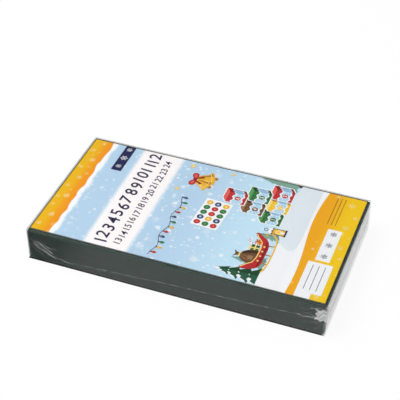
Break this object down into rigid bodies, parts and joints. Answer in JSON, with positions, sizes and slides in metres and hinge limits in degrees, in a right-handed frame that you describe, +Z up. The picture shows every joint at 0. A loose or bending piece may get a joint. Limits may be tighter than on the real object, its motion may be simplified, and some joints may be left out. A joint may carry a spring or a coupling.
{
  "type": "advent calendar kit",
  "caption": "Shrink-wrapped flat cardboard box with a printed cover card, holding gift cartons folded flat and a sheet of number stickers, to fill as an advent calendar.",
  "frame": {"origin": "middle of the flat face that the pack lies on", "axes": "+X along the pack's length, +Y across it from the pictured long side to the far side, +Z up through the printed cover card"},
  "size_m": [0.244, 0.131, 0.0294],
  "materials": {
    "clear_film": "clear glossy shrink film",
    "green_board": "dark green printed board, satin varnish",
    "printed_card": "full-colour offset print on coated card",
    "sticker_backing": "siliconised backing paper",
    "sticker_paper": "printed gloss sticker paper",
    "carton_green": "printed folding board, green caps",
    "carton_yellow": "printed folding board, yellow caps",
    "carton_brown": "printed folding board, brown caps",
    "carton_red": "printed folding board, red caps"
  },
  "bodies": {
    "film_lower": {"film_lower": "clear_film"},
    "base_tray": {"base_tray": "green_board"},
    "gift_carton_01": {"gift_carton_01": "carton_green"},
    "gift_carton_02": {"gift_carton_02": "carton_brown"},
    "gift_carton_03": {"gift_carton_03": "carton_yellow"},
    "gift_carton_04": {"gift_carton_04": "carton_red"},
    "gift_carton_05": {"gift_carton_05": "carton_brown"},
    "gift_carton_06": {"gift_carton_06": "carton_green"},
    "gift_carton_07": {"gift_carton_07": "carton_red"},
    "gift_carton_08": {"gift_carton_08": "carton_yellow"},
    "gift_carton_09": {"gift_carton_09": "carton_green"},
    "gift_carton_10": {"gift_carton_10": "carton_brown"},
    "gift_carton_11": {"gift_carton_11": "carton_yellow"},
    "gift_carton_12": {"gift_carton_12": "carton_red"},
    "gift_carton_13": {"gift_carton_13": "carton_brown"},
    "gift_carton_14": {"gift_carton_14": "carton_green"},
    "gift_carton_15": {"gift_carton_15": "carton_red"},
    "gift_carton_16": {"gift_carton_16": "carton_yellow"},
    "gift_carton_17": {"gift_carton_17": "carton_green"},
    "gift_carton_18": {"gift_carton_18": "carton_brown"},
    "gift_carton_19": {"gift_carton_19": "carton_yellow"},
    "gift_carton_20": {"gift_carton_20": "carton_red"},
    "gift_carton_21": {"gift_carton_21": "carton_brown"},
    "gift_carton_22": {"gift_carton_22": "carton_green"},
    "gift_carton_23": {"gift_carton_23": "carton_red"},
    "gift_carton_24": {"gift_carton_24": "carton_yellow"},
    "sticker_sheet": {"sticker_sheet": "sticker_backing", "number_sticker_01": "sticker_paper", "number_sticker_02": "sticker_paper", "number_sticker_03": "sticker_paper", "number_sticker_04": "sticker_paper", "number_sticker_05": "sticker_paper", "number_sticker_06": "sticker_paper", "number_sticker_07": "sticker_paper", "number_sticker_08": "sticker_paper", "number_sticker_09": "sticker_paper", "number_sticker_10": "sticker_paper", "number_sticker_11": "sticker_paper", "number_sticker_12": "sticker_paper", "number_sticker_13": "sticker_paper", "number_sticker_14": "sticker_paper", "number_sticker_15": "sticker_paper", "number_sticker_16": "sticker_paper", "number_sticker_17": "sticker_paper", "number_sticker_18": "sticker_paper", "number_sticker_19": "sticker_paper", "number_sticker_20": "sticker_paper", "number_sticker_21": "sticker_paper", "number_sticker_22": "sticker_paper", "number_sticker_23": "sticker_paper", "number_sticker_24": "sticker_paper"},
    "box_lid": {"box_lid": "green_board"},
    "cover_card": {"cover_card": "printed_card"},
    "film_upper": {"film_upper": "clear_film"}
  },
  "joints": [
    {"name": "tray_lift", "type": "slide", "parent": "film_lower", "child": "base_tray", "axis": [0, 0, 1], "range_m": [0, 0.03]},
    {"name": "carton_01_lift", "type": "slide", "parent": "base_tray", "child": "gift_carton_01", "axis": [0, 0, 1], "range_m": [0, 0.03]},
    {"name": "carton_02_lift", "type": "slide", "parent": "gift_carton_01", "child": "gift_carton_02", "axis": [0, 0, 1], "range_m": [0, 0.03]},
    {"name": "carton_03_lift", "type": "slide", "parent": "gift_carton_02", "child": "gift_carton_03", "axis": [0, 0, 1], "range_m": [0, 0.03]},
    {"name": "carton_04_lift", "type": "slide", "parent": "gift_carton_03", "child": "gift_carton_04", "axis": [0, 0, 1], "range_m": [0, 0.03]},
    {"name": "carton_05_lift", "type": "slide", "parent": "gift_carton_04", "child": "gift_carton_05", "axis": [0, 0, 1], "range_m": [0, 0.03]},
    {"name": "carton_06_lift", "type": "slide", "parent": "gift_carton_05", "child": "gift_carton_06", "axis": [0, 0, 1], "range_m": [0, 0.03]},
    {"name": "carton_07_lift", "type": "slide", "parent": "gift_carton_06", "child": "gift_carton_07", "axis": [0, 0, 1], "range_m": [0, 0.03]},
    {"name": "carton_08_lift", "type": "slide", "parent": "gift_carton_07", "child": "gift_carton_08", "axis": [0, 0, 1], "range_m": [0, 0.03]},
    {"name": "carton_09_lift", "type": "slide", "parent": "gift_carton_08", "child": "gift_carton_09", "axis": [0, 0, 1], "range_m": [0, 0.03]},
    {"name": "carton_10_lift", "type": "slide", "parent": "gift_carton_09", "child": "gift_carton_10", "axis": [0, 0, 1], "range_m": [0, 0.03]},
    {"name": "carton_11_lift", "type": "slide", "parent": "gift_carton_10", "child": "gift_carton_11", "axis": [0, 0, 1], "range_m": [0, 0.03]},
    {"name": "carton_12_lift", "type": "slide", "parent": "gift_carton_11", "child": "gift_carton_12", "axis": [0, 0, 1], "range_m": [0, 0.03]},
    {"name": "carton_13_lift", "type": "slide", "parent": "gift_carton_12", "child": "gift_carton_13", "axis": [0, 0, 1], "range_m": [0, 0.03]},
    {"name": "carton_14_lift", "type": "slide", "parent": "gift_carton_13", "child": "gift_carton_14", "axis": [0, 0, 1], "range_m": [0, 0.03]},
    {"name": "carton_15_lift", "type": "slide", "parent": "gift_carton_14", "child": "gift_carton_15", "axis": [0, 0, 1], "range_m": [0, 0.03]},
    {"name": "carton_16_lift", "type": "slide", "parent": "gift_carton_15", "child": "gift_carton_16", "axis": [0, 0, 1], "range_m": [0, 0.03]},
    {"name": "carton_17_lift", "type": "slide", "parent": "gift_carton_16", "child": "gift_carton_17", "axis": [0, 0, 1], "range_m": [0, 0.03]},
    {"name": "carton_18_lift", "type": "slide", "parent": "gift_carton_17", "child": "gift_carton_18", "axis": [0, 0, 1], "range_m": [0, 0.03]},
    {"name": "carton_19_lift", "type": "slide", "parent": "gift_carton_18", "child": "gift_carton_19", "axis": [0, 0, 1], "range_m": [0, 0.03]},
    {"name": "carton_20_lift", "type": "slide", "parent": "gift_carton_19", "child": "gift_carton_20", "axis": [0, 0, 1], "range_m": [0, 0.03]},
    {"name": "carton_21_lift", "type": "slide", "parent": "gift_carton_20", "child": "gift_carton_21", "axis": [0, 0, 1], "range_m": [0, 0.03]},
    {"name": "carton_22_lift", "type": "slide", "parent": "gift_carton_21", "child": "gift_carton_22", "axis": [0, 0, 1], "range_m": [0, 0.03]},
    {"name": "carton_23_lift", "type": "slide", "parent": "gift_carton_22", "child": "gift_carton_23", "axis": [0, 0, 1], "range_m": [0, 0.03]},
    {"name": "carton_24_lift", "type": "slide", "parent": "gift_carton_23", "child": "gift_carton_24", "axis": [0, 0, 1], "range_m": [0, 0.03]},
    {"name": "sticker_sheet_lift", "type": "slide", "parent": "gift_carton_24", "child": "sticker_sheet", "axis": [0, 0, 1], "range_m": [0, 0.03]},
    {"name": "lid_lift", "type": "slide", "parent": "sticker_sheet", "child": "box_lid", "axis": [0, 0, 1], "range_m": [0, 0.045]},
    {"name": "cover_card_lift", "type": "slide", "parent": "box_lid", "child": "cover_card", "axis": [0, 0, 1], "range_m": [0, 0.03]},
    {"name": "film_parting", "type": "slide", "parent": "cover_card", "child": "film_upper", "axis": [0, 0, 1], "range_m": [0, 0.045]}
  ]
}
